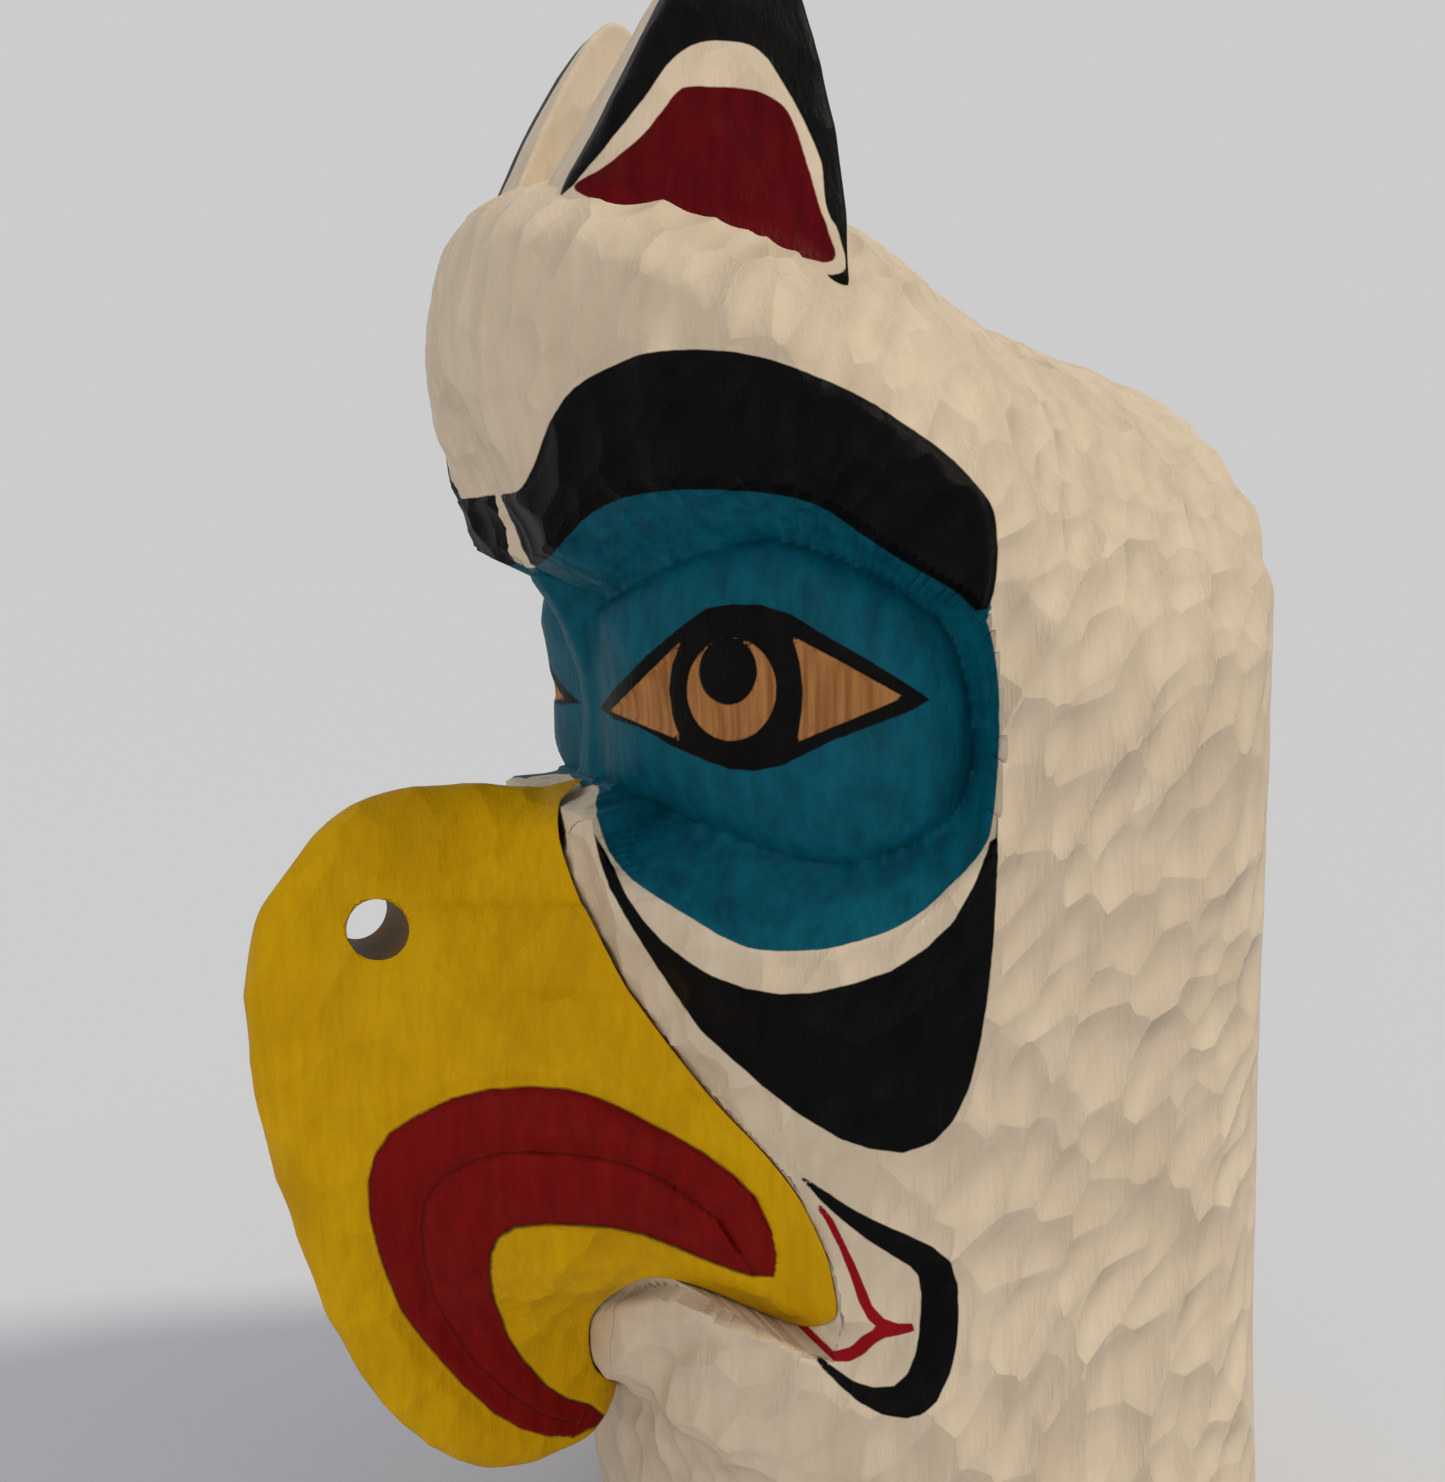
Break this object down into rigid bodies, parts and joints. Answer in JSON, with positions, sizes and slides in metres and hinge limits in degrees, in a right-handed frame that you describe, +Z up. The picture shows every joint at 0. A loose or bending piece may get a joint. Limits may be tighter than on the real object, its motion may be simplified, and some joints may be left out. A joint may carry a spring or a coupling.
{
  "type": "carved totem pole eagle bust",
  "caption": "Carved and painted eagle head from a totem pole, a bust cut flat below, with a hooked beak fixed to the face and upright ears.",
  "frame": {"origin": "centre of the flat underside, on the log's own axis", "axes": "+Z up the log, the figure looks along -Y, its flat back faces +Y and its left side is +X"},
  "size_m": [0.54, 0.526, 0.975],
  "materials": {
    "cream_paint": "matt cream paint over adzed cedar, with black, red and blue-green carved forms",
    "yellow_paint": "satin yellow paint over carved cedar, with a red band"
  },
  "bodies": {
    "root": {"eagle_head": "cream_paint", "beak": "yellow_paint"}
  },
  "joints": []
}
